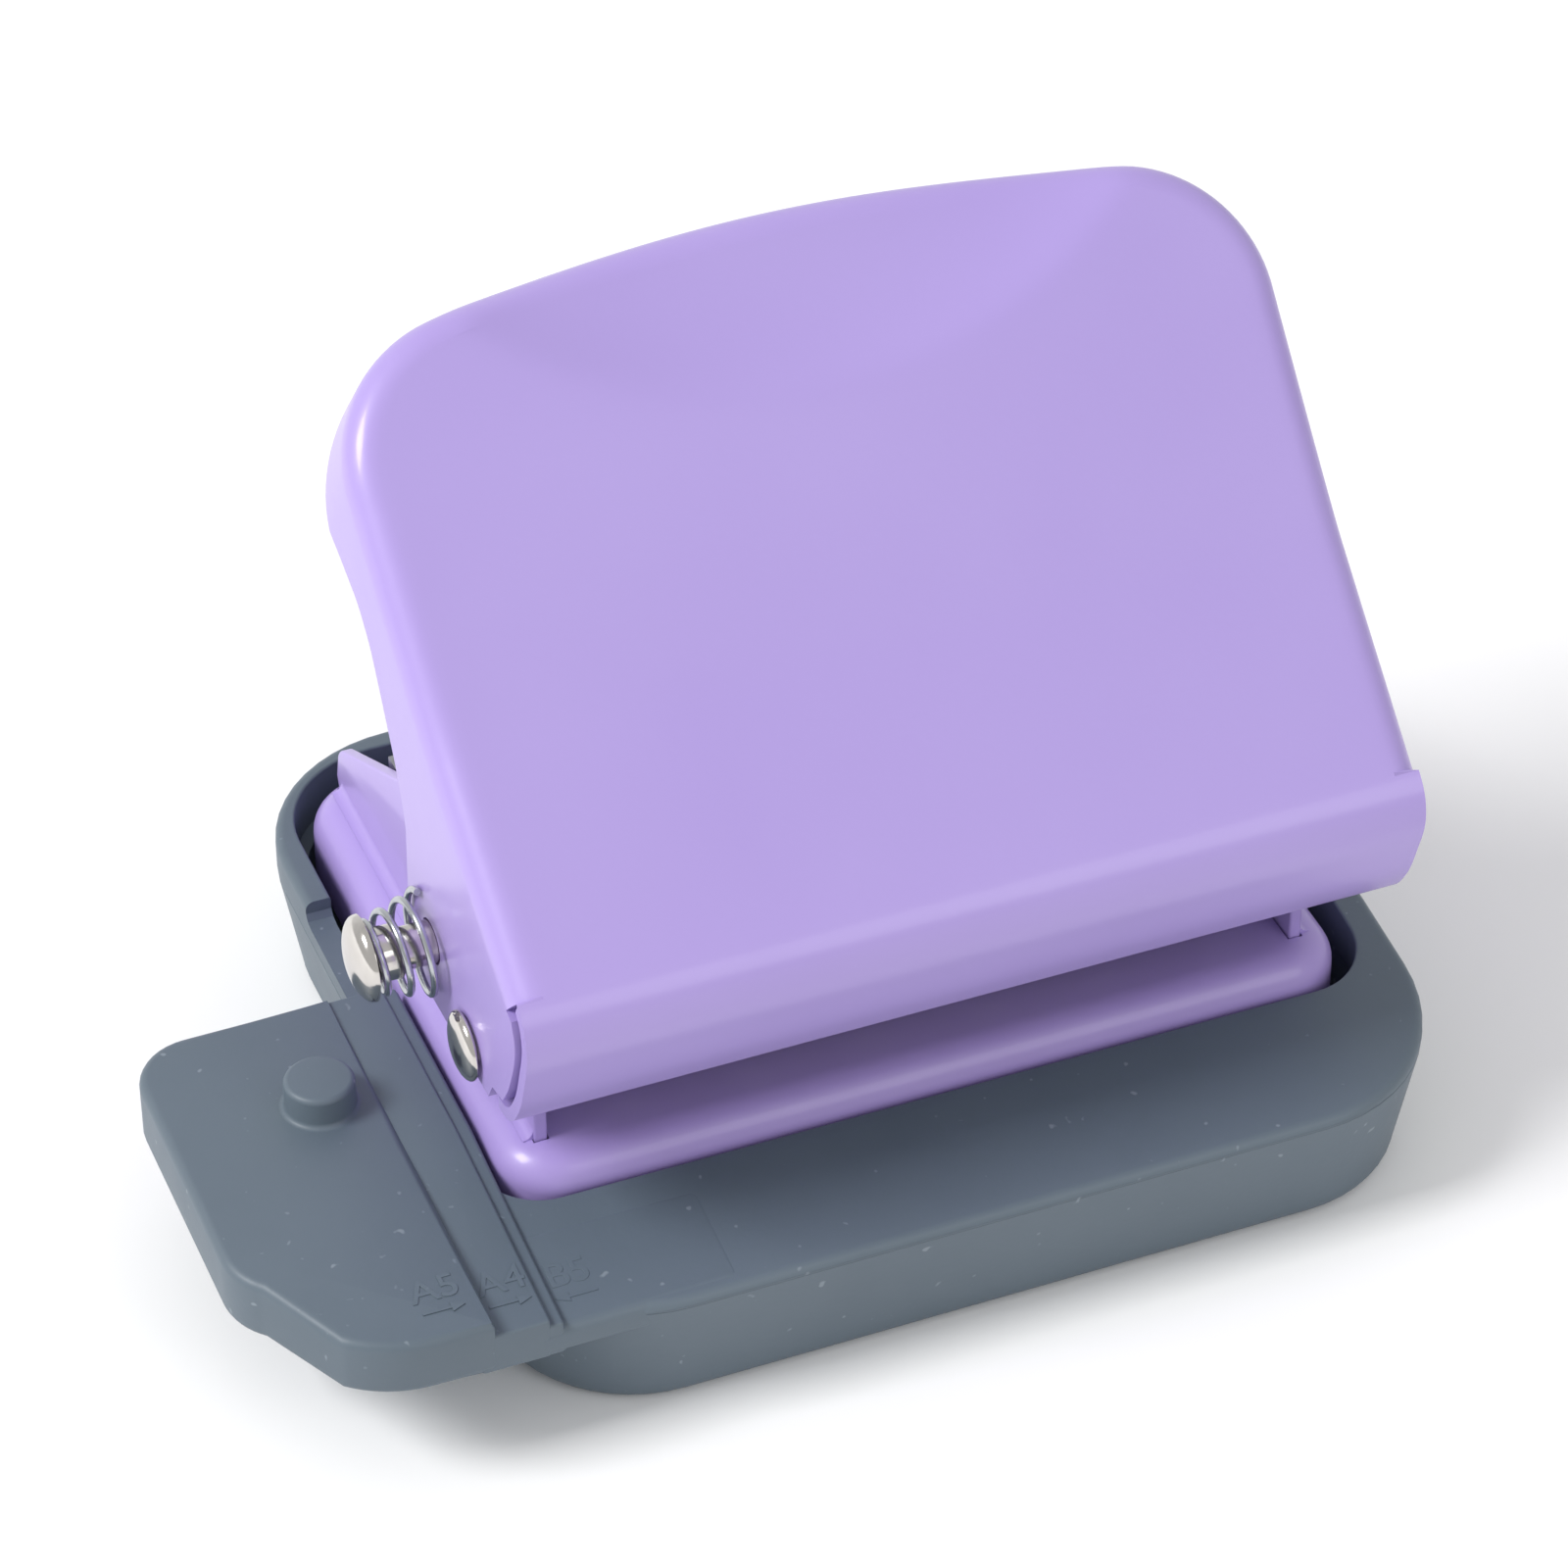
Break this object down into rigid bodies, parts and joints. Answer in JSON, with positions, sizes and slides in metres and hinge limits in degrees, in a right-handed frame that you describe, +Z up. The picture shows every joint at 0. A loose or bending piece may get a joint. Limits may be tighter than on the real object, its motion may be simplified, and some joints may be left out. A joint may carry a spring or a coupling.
{
  "type": "hole punch",
  "caption": "Desk hole punch with a pressed-steel lever handle over a row of punches, a steel pan and a plastic chip tray with a paper wing.",
  "frame": {"origin": "on the flat underside of the chip tray, straight below the middle of the punch row", "axes": "+X along the punch row, away from the paper wing; +Y from the side where paper goes in to the back; +Z up"},
  "size_m": [0.0915, 0.0657, 0.0667],
  "materials": {
    "moulded_plastic": "fine moulded grain",
    "lavender_paint": "satin gloss enamel on pressed steel",
    "plain_steel": "plain",
    "nickel_plate": "bright plated",
    "spring_steel": "bright wire"
  },
  "bodies": {
    "tray": {"chip_tray": "moulded_plastic"},
    "chassis": {"chassis_pan": "lavender_paint", "punch_frame": "lavender_paint", "punch_guide": "plain_steel", "paper_stop": "plain_steel", "guide_rivet_left": "plain_steel", "guide_rivet_right": "plain_steel", "hinge_rivet_left": "nickel_plate", "hinge_rivet_right": "nickel_plate"},
    "lever": {"handle": "lavender_paint", "press_plate": "plain_steel"},
    "lock": {"lock_button": "nickel_plate", "lock_ring": "spring_steel", "lock_spring": "spring_steel"},
    "punch_1": {"punch_1": "plain_steel", "punch_ring_1": "spring_steel", "punch_spring_1": "spring_steel"},
    "punch_2": {"punch_2": "plain_steel", "punch_ring_2": "spring_steel", "punch_spring_2": "spring_steel"},
    "punch_3": {"punch_3": "plain_steel", "punch_ring_3": "spring_steel", "punch_spring_3": "spring_steel"},
    "punch_4": {"punch_4": "plain_steel", "punch_ring_4": "spring_steel", "punch_spring_4": "spring_steel"},
    "punch_5": {"punch_5": "plain_steel", "punch_ring_5": "spring_steel", "punch_spring_5": "spring_steel"},
    "punch_6": {"punch_6": "plain_steel", "punch_ring_6": "spring_steel", "punch_spring_6": "spring_steel"}
  },
  "joints": [
    {"name": "chassis_lift", "type": "slide", "parent": "tray", "child": "chassis", "axis": [0, 0, 1], "range_m": [0, 0.03]},
    {"name": "handle_hinge", "type": "hinge", "parent": "chassis", "child": "lever", "pos_m": [0, -0.0088, 0.0241], "axis": [1, 0, 0], "range_deg": [-28, 0], "stiffness_Nm_per_rad": 0.4, "springref_deg": 17.19},
    {"name": "lock_slide", "type": "slide", "parent": "lever", "child": "lock", "axis": [1, 0, 0], "range_m": [0, 0.0023], "stiffness_N_per_m": 300, "springref_m": -0.002, "deforming": ["lock_spring"]},
    {"name": "punch_slide_1", "type": "slide", "parent": "chassis", "child": "punch_1", "axis": [0, 0, 1], "range_m": [-0.0045, 0], "deforming": ["punch_spring_1"]},
    {"name": "punch_slide_2", "type": "slide", "parent": "chassis", "child": "punch_2", "axis": [0, 0, 1], "range_m": [-0.0045, 0], "deforming": ["punch_spring_2"]},
    {"name": "punch_slide_3", "type": "slide", "parent": "chassis", "child": "punch_3", "axis": [0, 0, 1], "range_m": [-0.0045, 0], "deforming": ["punch_spring_3"]},
    {"name": "punch_slide_4", "type": "slide", "parent": "chassis", "child": "punch_4", "axis": [0, 0, 1], "range_m": [-0.0045, 0], "deforming": ["punch_spring_4"]},
    {"name": "punch_slide_5", "type": "slide", "parent": "chassis", "child": "punch_5", "axis": [0, 0, 1], "range_m": [-0.0045, 0], "deforming": ["punch_spring_5"]},
    {"name": "punch_slide_6", "type": "slide", "parent": "chassis", "child": "punch_6", "axis": [0, 0, 1], "range_m": [-0.0045, 0], "deforming": ["punch_spring_6"]}
  ],
  "couplings": [
    {"joint": "punch_slide_1", "follows": "handle_hinge", "m_per_rad": 0.0089},
    {"joint": "punch_slide_2", "follows": "handle_hinge", "m_per_rad": 0.0089},
    {"joint": "punch_slide_3", "follows": "handle_hinge", "m_per_rad": 0.0089},
    {"joint": "punch_slide_4", "follows": "handle_hinge", "m_per_rad": 0.0089},
    {"joint": "punch_slide_5", "follows": "handle_hinge", "m_per_rad": 0.0089},
    {"joint": "punch_slide_6", "follows": "handle_hinge", "m_per_rad": 0.0089}
  ]
}
